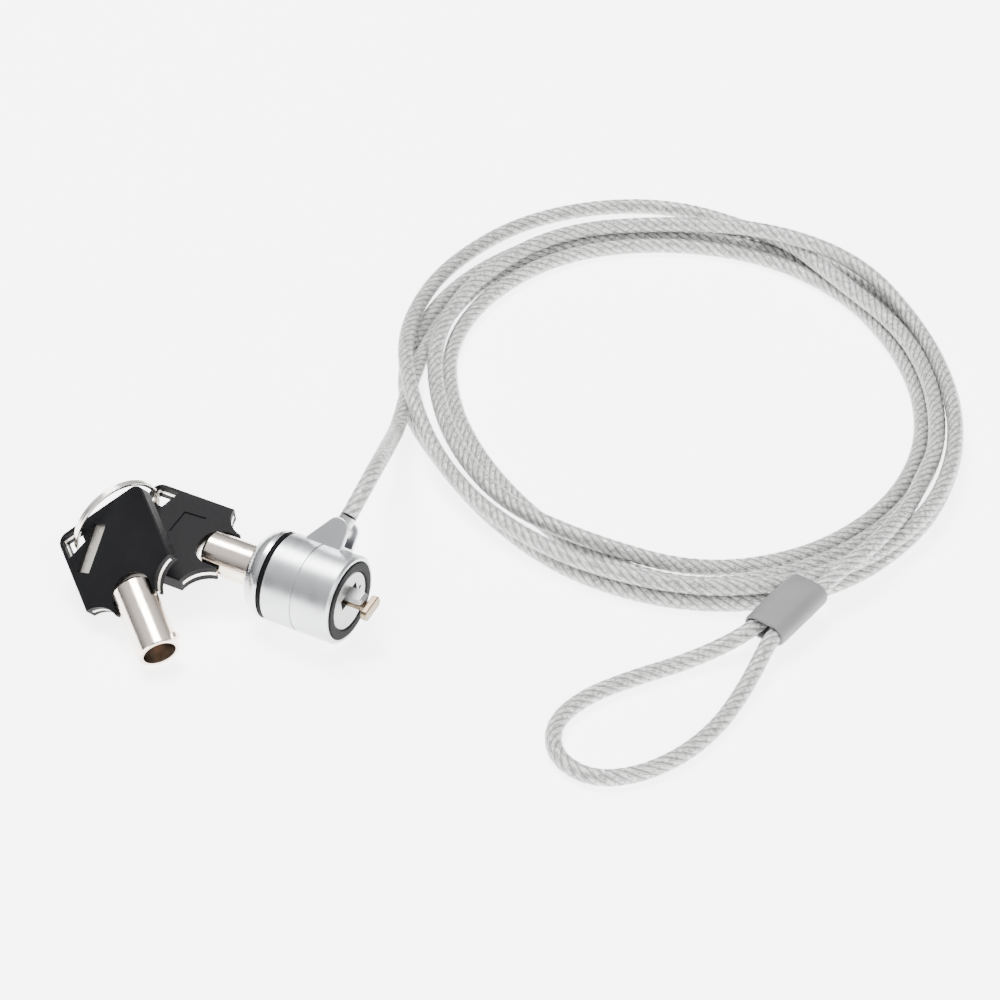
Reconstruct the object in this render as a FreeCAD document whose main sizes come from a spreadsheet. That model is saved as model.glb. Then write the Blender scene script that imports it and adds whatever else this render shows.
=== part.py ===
import FreeCAD, Part
import math
import os
import Sketcher
from FreeCAD import Placement, Rotation, Vector

# Cable lock for a small lock slot: a short round lock with a T-bar nose, a tubular key in its
# back, a second key on a split ring, and a coiled jacketed cable with an eye at its far end.
# Millimetres.  The origin is the centre of the nose face, +X points out along the T-bar and
# +Z is up.  "Depth" is the distance behind the nose face, so it grows towards -X.

SIZES = {
    # round body and its rear bezel
    "body_r": 10.0, "body_end": 17.0, "rim_start": 0.3, "rim_chamfer": 0.5,
    "rear_edge": 0.3, "groove_front": 9.0, "groove_back": 9.5, "groove_depth": 0.25,
    "nose_seat_r": 9.0, "web_bore_r": 6.65, "web_end": 3.4, "bore_r": 7.6, "rear_bore_r": 8.6,
    "rear_bore_start": 13.0,
    "bezel_spigot_r": 8.55, "bezel_bore_r": 7.65, "bezel_spigot_start": 13.2,
    "bezel_seat_r": 8.8, "bezel_face": 18.0, "bezel_rim_end": 19.0, "bezel_end": 23.0,
    "bezel_web": 21.3, "key_mouth_r": 5.0, "bezel_flat_r": 6.3, "bezel_dome_r": 5.4,
    "nib_way_start": 21.0, "nib_clearance": 0.15,
    "o_ring_r": 9.35, "o_ring_wire_r": 0.5, "o_ring_depth": 17.5,
    # nose: rubber ring and metal disc with the T-bar
    "nose_ring_r": 8.95, "nose_ring_depth": 1.6, "nose_ring_round": 0.5,
    "plate_r": 6.6, "plate_face": 0.2, "plate_edge": 0.2, "plate_flange_r": 7.5,
    "plate_flange_start": 3.42, "plate_end": 4.9, "plate_hole_r": 1.3,
    "slot_width": 6.6, "slot_low": 0.1, "slot_high": 2.9, "slot_floor": 2.6,
    "sight_hole_r": 0.5, "sight_hole_side": 4.3, "sight_hole_up": 0.1,
    "prong_half": 1.4, "prong_low": 1.5, "prong_high": 3.2, "prong_reach": 3.9, "prong_root": 3.3,
    "prong_taper": 0.6, "prong_round": 0.5,
    "bar_shaft_r": 1.2, "bar_tail": 7.9, "bar_head_back": 4.1, "bar_head_front": 5.6,
    "bar_flat_half": 2.46, "bar_end_r": 1.7, "bar_head_half": 1.4, "bar_round": 0.3,
    # lock works
    "sleeve_r": 7.55, "sleeve_start": 5.0, "sleeve_end": 21.2, "sleeve_bore_r": 5.55,
    "lip_start": 16.6, "lip_end": 18.0, "lip_r": 4.8, "channel_r": 5.9,
    "housing_start": 7.5, "shear_line": 13.0, "housing_r": 5.5, "housing_bore_r": 2.65,
    "pin_circle_r": 4.15, "pin_hole_r": 0.65, "pin_r": 0.6, "pin_hole_floor": 8.3,
    "driver_front": 10.7, "driver_back": 12.95, "spring_r": 0.45, "spring_wire_r": 0.1,
    "spring_pitch": 0.44, "rotor_face": 13.03, "rotor_back": 16.5, "rotor_flange_r": 5.5,
    "post_r": 3.5, "post_end": 22.4, "spindle_r": 2.6, "spindle_front": 5.0, "socket_end": 8.0,
    "socket_r": 1.25, "tumbler_front": 13.05, "tumbler_back": 17.7, "clip_r": 4.2,
    "clip_front": 6.8, "clip_back": 7.4, "clip_mouth_half": 1.5,
    # lug on the body's side
    "lug_half": 3.3, "lug_base": 8.8, "lug_rear": 13.5, "lug_shoulder": 10.2,
    "lug_tip_depth": 7.6, "lug_tip_r": 2.7, "lug_round": 0.35,
    "yoke_depth": 8.0, "yoke_height": 13.5,
    "fork_half": 2.15, "fork_floor": 10.4, "fork_front": 3.0, "fork_back": 10.8, "fork_top": 17.0,
    "yoke_pin_r": 0.95, "yoke_pin_end": 2.7,
    # cable and its fittings
    "cable_r": 1.9, "eye_disc_r": 2.4, "terminal_half": 2.05, "terminal_hole_r": 1.0,
    "terminal_r": 1.95, "terminal_length": 3.6,
    "coil_long": 78.8, "coil_short": 63.0, "coil_hole_long": 58.5, "coil_hole_short": 50.5,
    "coil_floor": -10.0, "coil_top": -0.8, "coil_round": 1.9,
    "ferrule_long": 17.0, "ferrule_lobe_r": 2.9, "ferrule_arc_r": 2.901,
    "ferrule_half_pitch": 2.3, "ferrule_round": 0.5,
    # keys
    "tube_r": 4.65, "tube_bore_r": 3.7, "tube_long": 18.0, "tube_neck": 1.0, "tube_floor": 12.5,
    "tube_edge": 0.2, "slit_start": 14.0, "slit_half": 0.45, "key_plate_half": 0.4,
    "nib_front": 0.8, "nib_back": 2.1, "nib_half": 0.7, "nib_root": 4.3, "nib_top": 5.4,
    "bow_half_thick": 1.8, "bow_half": 11.5, "bow_start": 18.3, "bow_end": 38.4,
    "bow_corner_r": 2.4, "scallop_end": 5.4, "scallop_start": 13.0, "scallop_r": 6.5,
    "notch_r": 4.9, "notch_arc_r": 4.901, "notch_centre": 15.6,
    "plate_tongue": 14.5, "plate_inset": 0.8, "pocket_edge": 0.78, "cover_round": 0.35,
    "line_width": 0.55, "line_depth": 0.3,
    # split ring
    "ring_r": 10.53, "ring_wire_r": 0.5, "ring_pitch": 0.28,
    # how far a cutting tool runs past what it cuts, and a drill past its hole
    "overrun": 0.1, "drill_overrun": 0.5,
}

NOSE_ROLL = 10.0           # degrees that the T-bar, prong and keyway stand turned about +X
PIN_COUNT = 7
ARC_SHARE = 0.45           # of a route's shorter run, what the arc at its corner takes up
SLACK = 1e-4               # how far an edge may miss a position and still count as there
LUG_TURN = Rotation(Vector(-1, 0, 0), Vector(0, -1, 1), Vector(0, 1, 1), "ZXY")
REARWARD = Rotation(Vector(0, 0, 1), 180)
ROLLED = Rotation(Vector(1, 0, 0), NOSE_ROLL) * REARWARD

# Pose of each key: centre of its open end, direction towards that end and towards the ring hole.
KEY_POSES = {
    "key_1": (Vector(-30.45, -28.96, -5.6), Vector(0.7506, -0.5892, -0.2991),
              Vector(-0.6347, -0.5169, -0.5744)),
    "key_2": (Vector(-17.8, 0, 0), Vector(1, 0, 0),
              Vector(0, math.cos(math.radians(NOSE_ROLL)), math.sin(math.radians(NOSE_ROLL)))),
}
RING_CENTRE = Vector(-57.98, -2.64, 1.34)
RING_NORMAL = Vector(-0.904, 0.405, 0.135)

# Outlines on the bow: distance from the key's tip, then sideways towards the ring hole.
RING_HOLE = [(37.4, 10.5), (37.4, 5.5), (33.4, 5.5), (32.1, 10.5)]
WINDOW = [(36.2, 2.2), (34.0, -0.6), (26.0, 7.5), (28.2, 10.1)]
LINE_MARK = [(27.9, 0.1), (27.7, 6.0), (22.8, 6.3)]

# The cable's route, point by point, where it isn't coiled.
LEAD = [(-7.3, 12.0, 12.0), (-7.0, 18.1, 15.3), (-8.6, 25.3, 15.0), (-11.5, 33.4, 12.0),
        (-15.3, 42.1, 7.4), (-19.4, 51.0, 2.1), (-23.4, 59.9, -2.9), (-26.8, 68.5, -6.6),
        (-29.0, 76.5, -8.1)]
TAIL = [(88.0, 104.0, -6.0), (90.2, 92.0, -4.0), (90.8, 80.0, -2.0), (89.5, 69.0, -1.4),
        (86.6, 61.5, -2.3), (84.9, 55.3, -3.4)]
EYE = [(77.6, 39.3, -4.8), (73.6, 32.6, -6.6), (67.4, 24.4, -8.1), (60.6, 15.4, -8.1),
       (54.4, 5.2, -8.1), (52.4, -5.6, -8.1), (57.6, -14.6, -8.1), (67.2, -17.2, -8.1),
       (75.4, -11.6, -8.1), (81.0, -1.4, -8.1), (83.4, 10.4, -8.1), (83.3, 22.0, -7.6),
       (82.7, 31.4, -6.0), (82.1, 38.5, -4.8)]
FERRULE_CENTRE = Vector(81.2, 47.3, -4.2)
FERRULE_AXIS = Vector(0.16, 0.985, 0.06)
COIL_CENTRE = Vector(23.2, 109.7, 0)
COIL_TURN = 135.0          # degrees from +X to the coil's long axis
TERMINAL_AXIS = Vector(0.185, 0.695, 0.695)

document = FreeCAD.newDocument("cable_lock")
sheet = document.addObject("Spreadsheet::Sheet", "Sizes")
for row, (alias, size) in enumerate(SIZES.items(), start=1):
    sheet.set("A%d" % row, alias)
    sheet.set("B%d" % row, str(size))
    sheet.setAlias("B%d" % row, alias)
document.recompute()


def bound(text):
    """The expression for a sum of named sizes and numbers, such as "body_end - web_end"."""
    words = ["Sizes." + word if word in SIZES else word for word in text.split()]
    return " ".join(words)


def amount(text):
    """The value of the same sum."""
    total = 0.0
    sign = 1.0
    for word in text.split():
        if word in ("+", "-"):
            sign = 1.0 if word == "+" else -1.0
        else:
            total += sign * (SIZES[word] if word in SIZES else float(word))
    return total


def bind(thing, **sizes):
    for name, text in sizes.items():
        thing.setExpression(name, bound(text))
    return thing


def primitive(kind, name, placement=None, **sizes):
    """A Part primitive whose named properties follow the sheet."""
    thing = bind(document.addObject("Part::" + kind, name), **sizes)
    if placement is not None:
        thing.Placement = placement
    return thing


def fused(name, pieces):
    thing = document.addObject("Part::MultiFuse", name)
    thing.Shapes = pieces
    return thing


def cut(name, base, tool):
    thing = document.addObject("Part::Cut", name)
    thing.Base = base
    thing.Tool = tool
    return thing


def new_body(name, placement=None):
    body = document.addObject("PartDesign::Body", name)
    if placement is not None:
        body.Placement = placement
    return body


def plane_of(body, role):
    return next(item for item in body.Origin.OriginFeatures if item.Role == role)


def new_sketch(body, name, role):
    sketch = body.newObject("Sketcher::SketchObject", name)
    sketch.AttachmentSupport = [(plane_of(body, role), "")]
    sketch.MapMode = "FlatFace"
    return sketch


def arc_between(start, end, radius, bulge_left):
    """A circular arc between two points, with the flag that says whether it runs end to start."""
    middle = (start + end) / 2
    chord = end - start
    height = math.sqrt(max(radius ** 2 - (chord.Length / 2) ** 2, 0.0))
    left = Vector(-chord.y, chord.x, 0).normalize()
    centre = middle - left * height if bulge_left else middle + left * height
    first, last = (end, start) if bulge_left else (start, end)
    begin = math.atan2(first.y - centre.y, first.x - centre.x)
    finish = math.atan2(last.y - centre.y, last.x - centre.x)
    circle = Part.Circle(centre, Vector(0, 0, 1), radius)
    return Part.ArcOfCircle(circle, begin, finish), bulge_left


def draw_loop(sketch, corners, arcs=None):
    """A closed outline whose corners follow the sheet.

    corners holds (x, y) sums of sizes; arcs gives, for the corner that a round stretch starts
    at, the name of its radius and whether it bulges to the left of the way from start to end.
    """
    arcs = arcs or {}
    points = [Vector(amount(x), amount(y), 0) for x, y in corners]
    ends = []
    for index, start in enumerate(points):
        end = points[(index + 1) % len(points)]
        flipped = False
        if index in arcs:
            radius, bulge_left = arcs[index]
            curve, flipped = arc_between(start, end, amount(radius), bulge_left)
        else:
            curve = Part.LineSegment(start, end)
        edge = sketch.addGeometry(curve, False)
        ends.append((edge, 2, 1) if flipped else (edge, 1, 2))
    for index, (edge, _, last) in enumerate(ends):
        following, first, _ = ends[(index + 1) % len(ends)]
        sketch.addConstraint(Sketcher.Constraint("Coincident", edge, last, following, first))
    for (x, y), (edge, first, _) in zip(corners, ends):
        for kind, text in (("DistanceX", x), ("DistanceY", y)):
            place = sketch.addConstraint(
                Sketcher.Constraint(kind, -1, 1, edge, first, amount(text)))
            sketch.setExpression("Constraints[%d]" % place, bound(text))
    for index, (radius, _) in arcs.items():
        place = sketch.addConstraint(
            Sketcher.Constraint("Radius", ends[index][0], amount(radius)))
        sketch.setExpression("Constraints[%d]" % place, bound(radius))


def turned(name, corners, arcs=None, placement=None):
    """A body turned about its own X axis; corners are (distance along X, radius)."""
    body = new_body(name, placement)
    sketch = new_sketch(body, name + "_section", "XY_Plane")
    draw_loop(sketch, corners, arcs)
    spin = body.newObject("PartDesign::Revolution", name + "_spin")
    spin.Profile = sketch
    spin.ReferenceAxis = (sketch, ["H_Axis"])
    spin.Angle = 360
    return body


def plate_body(name, role, corners, thickness, arcs=None, placement=None, symmetric=True):
    """A body padded from an outline on one of its own origin planes."""
    body = new_body(name, placement)
    sketch = new_sketch(body, name + "_outline", role)
    draw_loop(sketch, corners, arcs)
    pad = body.newObject("PartDesign::Pad", name + "_pad")
    pad.Profile = sketch
    if symmetric:
        pad.SideType = "Symmetric"
    bind(pad, Length=thickness)
    return body


def rounded(body, wanted, radius):
    """Rounds the edges of a body that the test picks out."""
    document.recompute()
    base = body.Tip
    names = ["Edge%d" % (number + 1) for number, edge in enumerate(base.Shape.Edges)
             if wanted(edge)]
    fillet = body.newObject("PartDesign::Fillet", body.Name + "_round")
    fillet.Base = (base, names)
    bind(fillet, Radius=radius)
    return body


def pins(name, front, back, radius):
    """The ring of pins or pin holes, as one object, in the depth direction."""
    pieces = []
    for index in range(PIN_COUNT):
        angle = 2 * math.pi * (index + 0.5) / PIN_COUNT
        centre = Vector(amount(front), SIZES["pin_circle_r"] * math.cos(angle),
                        SIZES["pin_circle_r"] * math.sin(angle))
        pin = primitive("Cylinder", "%s_%d" % (name, index + 1),
                        Placement(centre, Rotation(Vector(0, 1, 0), 90)),
                        Radius=radius, Height=back + " - " + front)
        turn = "Sizes.pin_circle_r * %s(%.6f rad)"
        pin.setExpression("Placement.Base.y", turn % ("cos", angle))
        pin.setExpression("Placement.Base.z", turn % ("sin", angle))
        pieces.append(pin)
    return pieces


def finished(name, thing, placement=None):
    """Names a sub-part; a built-up one is turned into place here."""
    if placement is not None:
        thing.Placement = placement
    thing.Label = name
    PARTS.append((name, thing))
    return thing


PARTS = []
DEPTHWARD = Placement(Vector(), REARWARD)
ROLLED_PLACE = Placement(Vector(), ROLLED)


def across_lug(start):
    """The place of a cylinder on the yoke pin's axis that starts this far to one side."""
    corner = Vector(SIZES["yoke_depth"], -start, SIZES["yoke_height"])
    return Placement(LUG_TURN.multVec(corner), LUG_TURN * Rotation(Vector(1, 0, 0), -90))


def make_lock_body():
    barrel = turned("barrel", [
        ("rim_start", "nose_seat_r"), ("rim_start", "body_r - rim_chamfer"),
        ("rim_start + rim_chamfer", "body_r"), ("groove_front", "body_r"),
        ("groove_front", "body_r - groove_depth"), ("groove_back", "body_r - groove_depth"),
        ("groove_back", "body_r"), ("body_end - rear_edge", "body_r"),
        ("body_end", "body_r - rear_edge"),
        ("body_end", "rear_bore_r"), ("rear_bore_start", "rear_bore_r"),
        ("rear_bore_start", "bore_r"), ("web_end", "bore_r"), ("web_end", "web_bore_r"),
        ("nose_ring_depth", "web_bore_r"), ("nose_ring_depth", "nose_seat_r")],
        placement=DEPTHWARD)
    lug_place = Placement(Vector(), LUG_TURN)
    # The tip's arc meets the sloping rear edge where a line from the shoulder touches it.
    reach_x = SIZES["lug_rear"] - SIZES["lug_tip_depth"]
    reach_z = SIZES["yoke_height"] - SIZES["lug_shoulder"]
    reach = math.hypot(reach_x, reach_z)
    lean = math.atan2(-reach_z, reach_x) + math.acos(SIZES["lug_tip_r"] / reach)
    touch_x = "lug_tip_depth + %.4f" % (SIZES["lug_tip_r"] * math.cos(lean))
    touch_z = "yoke_height + %.4f" % (SIZES["lug_tip_r"] * math.sin(lean))
    lug = plate_body("lug", "XZ_Plane", [
        ("lug_tip_depth - lug_tip_r", "lug_base"), ("lug_tip_depth - lug_tip_r", "yoke_height"),
        (touch_x, touch_z), ("lug_rear", "lug_shoulder"), ("lug_rear", "lug_base")],
        "lug_half + lug_half", arcs={1: ("lug_tip_r", True)}, placement=lug_place)
    rounded(lug, lambda edge: edge.BoundBox.ZMin > SIZES["body_r"]
            and edge.BoundBox.YLength < SLACK, "lug_round")
    fork = plate_body("fork_gap", "XZ_Plane", [
        ("fork_front", "fork_floor"), ("fork_back", "fork_floor"), ("fork_back", "fork_top"),
        ("fork_front", "fork_top")], "fork_half + fork_half", placement=lug_place)
    pin_hole = primitive("Cylinder", "pin_hole", across_lug(SIZES["lug_half"] + SIZES["overrun"]),
                         Radius="yoke_pin_r", Height="lug_half + yoke_pin_end + overrun")
    solid = fused("barrel_and_lug", [barrel, lug])
    forked = cut("forked_barrel", solid, fused("fork_cuts", [fork, pin_hole]))
    finished("lock_body", forked)
    finished("yoke_pin", primitive("Cylinder", "yoke_pin_solid", across_lug(SIZES["lug_half"]),
                                   Radius="yoke_pin_r", Height="lug_half + yoke_pin_end"))


def make_bezel():
    shell = turned("bezel_shell", [
        ("bezel_spigot_start", "bezel_bore_r"), ("bezel_web", "bezel_bore_r"),
        ("bezel_web", "key_mouth_r"), ("bezel_end", "key_mouth_r"),
        ("bezel_end", "bezel_flat_r"), ("bezel_rim_end", "body_r"),
        ("bezel_face", "body_r"), ("bezel_face", "bezel_seat_r"),
        ("body_end", "bezel_seat_r"), ("body_end", "bezel_spigot_r"),
        ("bezel_spigot_start", "bezel_spigot_r")],
        arcs={4: ("bezel_dome_r", False)}, placement=DEPTHWARD)
    corner = Vector(SIZES["nib_way_start"], 0, -SIZES["nib_half"] - SIZES["nib_clearance"])
    nib_way = primitive("Box", "nib_way", Placement(ROLLED.multVec(corner), ROLLED),
                        Length="bezel_end - nib_way_start + overrun",
                        Width="nib_top + nib_clearance",
                        Height="nib_half + nib_half + nib_clearance + nib_clearance")
    finished("rear_bezel", cut("bezel", shell, nib_way))
    wire = primitive("Torus", "o_ring", Placement(
        Vector(-SIZES["o_ring_depth"], 0, 0), Rotation(Vector(0, 1, 0), 90)),
        Radius1="o_ring_r", Radius2="o_ring_wire_r")
    finished("bezel_o_ring", wire)


def make_nose():
    ring = turned("rubber_ring", [
        ("0", "web_bore_r"), ("0", "nose_ring_r"), ("nose_ring_depth", "nose_ring_r"),
        ("nose_ring_depth", "web_bore_r")], placement=DEPTHWARD)
    rounded(ring, lambda edge: edge.BoundBox.XMax < SLACK
            and edge.BoundBox.YLength > SIZES["web_bore_r"], "nose_ring_round")
    finished("nose_ring", ring)
    disc = turned("nose_disc", [
        ("plate_face", "plate_hole_r"), ("plate_face", "plate_r - plate_edge"),
        ("plate_face + plate_edge", "plate_r"), ("plate_flange_start", "plate_r"),
        ("plate_flange_start", "plate_flange_r"), ("plate_end", "plate_flange_r"),
        ("plate_end", "plate_hole_r")], placement=ROLLED_PLACE)
    corner = Vector(0, -SIZES["slot_width"] / 2, SIZES["slot_low"])
    slot = primitive("Box", "nose_slot", Placement(ROLLED.multVec(corner), ROLLED),
                     Length="slot_floor", Width="slot_width", Height="slot_high - slot_low")
    sight = primitive("Cylinder", "sight_hole", Placement(
        ROLLED.multVec(Vector(0, -SIZES["sight_hole_side"], SIZES["sight_hole_up"])),
        ROLLED * Rotation(Vector(0, 1, 0), 90)), Radius="sight_hole_r", Height="slot_floor")
    pierced = cut("pierced_disc", disc, fused("disc_cuts", [slot, sight]))
    prong = new_body("prong", ROLLED_PLACE)
    outline = new_sketch(prong, "prong_outline", "XZ_Plane")
    draw_loop(outline, [
        ("0 - prong_reach", "prong_low + prong_taper"),
        ("0 - prong_reach", "prong_high - prong_taper"),
        ("prong_taper - prong_reach", "prong_high"), ("prong_root", "prong_high"),
        ("prong_root", "prong_low"), ("prong_taper - prong_reach", "prong_low")])
    pad = prong.newObject("PartDesign::Pad", "prong_pad")
    pad.Profile = outline
    pad.SideType = "Symmetric"
    bind(pad, Length="prong_half + prong_half")
    tip_end = SIZES["prong_taper"] - SIZES["prong_reach"] + SLACK
    rounded(prong, lambda edge: edge.BoundBox.XMax < tip_end
            and edge.BoundBox.YLength < SLACK, "prong_round")
    finished("nose_plate", fused("nose_plate_solid", [pierced, prong]))


def make_t_bar():
    shaft = primitive("Cylinder", "bar_shaft", Placement(
        Vector(-SIZES["bar_tail"], 0, 0), Rotation(Vector(0, 1, 0), 90)),
        Radius="bar_shaft_r", Height="bar_tail + bar_head_back + overrun")
    head = plate_body("bar_head", "YZ_Plane", [
        ("0 - bar_flat_half", "0 - bar_head_half"), ("bar_flat_half", "0 - bar_head_half"),
        ("bar_flat_half", "bar_head_half"), ("0 - bar_flat_half", "bar_head_half")],
        "bar_head_front - bar_head_back", symmetric=False,
        arcs={1: ("bar_end_r", False), 3: ("bar_end_r", False)},
        placement=Placement(Vector(SIZES["bar_head_back"], 0, 0),
                            Rotation(Vector(1, 0, 0), NOSE_ROLL)))
    rounded(head, lambda edge: edge.BoundBox.XLength < SLACK, "bar_round")
    finished("t_bar", fused("t_bar_solid", [shaft, head]))


def make_works():
    finished("lock_sleeve", turned("sleeve", [
        ("sleeve_start", "sleeve_bore_r"), ("sleeve_start", "sleeve_r"),
        ("sleeve_end", "sleeve_r"), ("sleeve_end", "channel_r"), ("lip_end", "channel_r"),
        ("lip_end", "lip_r"), ("lip_start", "lip_r"), ("lip_start", "sleeve_bore_r")],
        placement=DEPTHWARD))
    housing = turned("housing", [
        ("housing_start", "housing_bore_r"), ("housing_start", "housing_r"),
        ("shear_line", "housing_r"), ("shear_line", "housing_bore_r")])
    holes = fused("housing_holes", pins("housing_hole", "pin_hole_floor",
                                        "shear_line + drill_overrun", "pin_hole_r"))
    finished("pin_housing", cut("drilled_housing", housing, holes), DEPTHWARD)
    drivers = document.addObject("Part::Compound", "drivers")
    drivers.Links = pins("driver", "driver_front", "driver_back", "pin_r")
    finished("driver_pins", drivers, DEPTHWARD)
    coils = []
    for index in range(PIN_COUNT):
        angle = 2 * math.pi * (index + 0.5) / PIN_COUNT
        helix = primitive("Helix", "spring_path_%d" % (index + 1), Radius="spring_r",
                          Pitch="spring_pitch",
                          Height="driver_front - pin_hole_floor - spring_wire_r - spring_wire_r")
        wire = primitive("Circle", "spring_wire_%d" % (index + 1), Placement(
            Vector(SIZES["spring_r"], 0, 0), Rotation(Vector(1, 0, 0), 90)),
            Radius="spring_wire_r")
        coil = document.addObject("Part::Sweep", "spring_%d" % (index + 1))
        coil.Sections = [wire]
        coil.Spine = (helix, [])
        coil.Solid = True
        coil.Frenet = True
        coil.Placement = Placement(Vector(
            SIZES["pin_hole_floor"] + SIZES["spring_wire_r"],
            SIZES["pin_circle_r"] * math.cos(angle), SIZES["pin_circle_r"] * math.sin(angle)),
            Rotation(Vector(0, 1, 0), 90))
        coils.append(coil)
    springs = document.addObject("Part::Compound", "springs")
    springs.Links = coils
    finished("pin_springs", springs, DEPTHWARD)
    rotor = turned("rotor_blank", [
        ("spindle_front", "socket_r"), ("spindle_front", "spindle_r"),
        ("rotor_face", "spindle_r"), ("rotor_face", "rotor_flange_r"),
        ("rotor_back", "rotor_flange_r"), ("rotor_back", "post_r"), ("post_end", "post_r"),
        ("post_end", "0"), ("socket_end", "0"), ("socket_end", "socket_r")])
    holes = fused("rotor_holes", pins("rotor_hole", "shear_line", "rotor_back + drill_overrun",
                                      "pin_hole_r"))
    finished("rotor", cut("drilled_rotor", rotor, holes), DEPTHWARD)
    tumblers = document.addObject("Part::Compound", "tumblers")
    tumblers.Links = pins("tumbler", "tumbler_front", "tumbler_back", "pin_r")
    finished("tumbler_pins", tumblers, DEPTHWARD)
    clip = turned("clip_blank", [
        ("clip_front", "spindle_r"), ("clip_front", "clip_r"), ("clip_back", "clip_r"),
        ("clip_back", "spindle_r")])
    corner = Vector(SIZES["clip_front"] - SIZES["overrun"], -SIZES["clip_mouth_half"], 0)
    mouth = primitive("Box", "clip_mouth", Placement(corner, Rotation()),
                      Length="clip_back - clip_front + overrun + overrun",
                      Width="clip_mouth_half + clip_mouth_half", Height="clip_r + overrun")
    finished("retaining_clip", cut("clip", clip, mouth), DEPTHWARD)


def fillet_route(points):
    """A wire of straight runs joined by tangent arcs, with the tightest arc's radius."""
    corners = [Vector(*point) for point in points]
    edges = []
    radii = []
    start = corners[0]
    for before, corner, after in zip(corners, corners[1:], corners[2:]):
        back = (before - corner).normalize()
        ahead = (after - corner).normalize()
        half_turn = (math.pi - back.getAngle(ahead)) / 2
        tangent = ARC_SHARE * min((before - corner).Length, (after - corner).Length)
        radius = tangent / math.tan(half_turn)
        radii.append(radius)
        arc_start = corner + back * tangent
        arc_end = corner + ahead * tangent
        centre_way = (back + ahead).normalize()
        middle = corner + centre_way * (radius / math.cos(half_turn) - radius)
        edges.append(Part.LineSegment(start, arc_start).toShape())
        edges.append(Part.Arc(arc_start, middle, arc_end).toShape())
        start = arc_end
    edges.append(Part.LineSegment(start, corners[-1]).toShape())
    return Part.Wire(edges), min(radii)


def cable_tube(name, points):
    """A stretch of cable along its route."""
    wire, tightest = fillet_route(points)
    way = Vector(*points[1]) - Vector(*points[0])
    circle = Part.Circle(Vector(*points[0]), way, SIZES["cable_r"]).toShape()
    tube = wire.makePipeShell([Part.Wire([circle])], True, False)
    full = math.pi * SIZES["cable_r"] ** 2 * wire.Length
    print("%s: %.1f mm long, tightest radius %.1f mm, volume ratio %.4f"
          % (name, wire.Length, tightest, tube.Volume / full))
    thing = document.addObject("Part::Feature", name + "_tube")
    thing.Shape = tube
    finished(name, thing)


def make_terminal():
    half = SIZES["terminal_half"]
    disc = primitive("Cylinder", "eye_disc", across_lug(half), Radius="eye_disc_r",
                     Height="terminal_half + terminal_half")
    centre = LUG_TURN.multVec(Vector(SIZES["yoke_depth"], 0, SIZES["yoke_height"]))
    neck = primitive("Cylinder", "terminal_neck",
                     Placement(centre, Rotation(Vector(0, 0, 1), TERMINAL_AXIS)),
                     Radius="terminal_r", Height="terminal_length")
    hole = primitive("Cylinder", "terminal_hole", across_lug(half + SIZES["overrun"]),
                     Radius="terminal_hole_r",
                     Height="terminal_half + terminal_half + overrun + overrun")
    finished("cable_terminal", cut("terminal", fused("terminal_blank", [disc, neck]), hole))


def make_coil():
    """The outer shape of the wound cable: an oval ring as high as the stacked turns."""
    rims = []
    for long_side, short_side in (("coil_long", "coil_short"),
                                  ("coil_hole_long", "coil_hole_short")):
        oval = Part.Ellipse(Vector(), SIZES[long_side], SIZES[short_side])
        rims.append(Part.Wire([oval.toShape()]))
    height = SIZES["coil_top"] - SIZES["coil_floor"]
    solids = [Part.Face(rim).extrude(Vector(0, 0, height)) for rim in rims]
    ring = solids[0].cut(solids[1])
    rims = [edge for edge in ring.Edges if edge.BoundBox.ZLength < SLACK]
    thing = document.addObject("Part::Feature", "coil_envelope")
    thing.Shape = ring.makeFillet(SIZES["coil_round"], rims)
    finished("cable_coil", thing, Placement(COIL_CENTRE + Vector(0, 0, SIZES["coil_floor"]),
                                            Rotation(Vector(0, 0, 1), COIL_TURN)))


def make_ferrule():
    turn = Rotation(Vector(0, -FERRULE_AXIS.z, FERRULE_AXIS.y), Vector(0, 0, 1), FERRULE_AXIS,
                    "ZYX")
    body = new_body("ferrule_sleeve", Placement(
        FERRULE_CENTRE - turn.multVec(Vector(0, 0, SIZES["ferrule_long"] / 2)), turn))
    outline = new_sketch(body, "ferrule_outline", "XY_Plane")
    draw_loop(outline, [("0 - ferrule_half_pitch", "0 - ferrule_lobe_r"),
                        ("ferrule_half_pitch", "0 - ferrule_lobe_r"),
                        ("ferrule_half_pitch", "ferrule_lobe_r"),
                        ("0 - ferrule_half_pitch", "ferrule_lobe_r")],
              arcs={1: ("ferrule_arc_r", False), 3: ("ferrule_arc_r", False)})
    pad = body.newObject("PartDesign::Pad", "ferrule_pad")
    pad.Profile = outline
    bind(pad, Length="ferrule_long")
    rounded(body, lambda edge: edge.BoundBox.ZLength < SLACK, "ferrule_round")
    finished("ferrule", body)


def scallop_circle():
    """Centre of the hollow between the bow's shoulder and its foot beside the tube."""
    shoulder = Vector(SIZES["bow_start"], SIZES["bow_half"], 0)
    foot = Vector(SIZES["scallop_start"], SIZES["scallop_end"], 0)
    chord = shoulder - foot
    height = math.sqrt(SIZES["scallop_r"] ** 2 - (chord.Length / 2) ** 2)
    return (shoulder + foot) / 2 + Vector(-chord.y, chord.x, 0).normalize() * height


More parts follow.
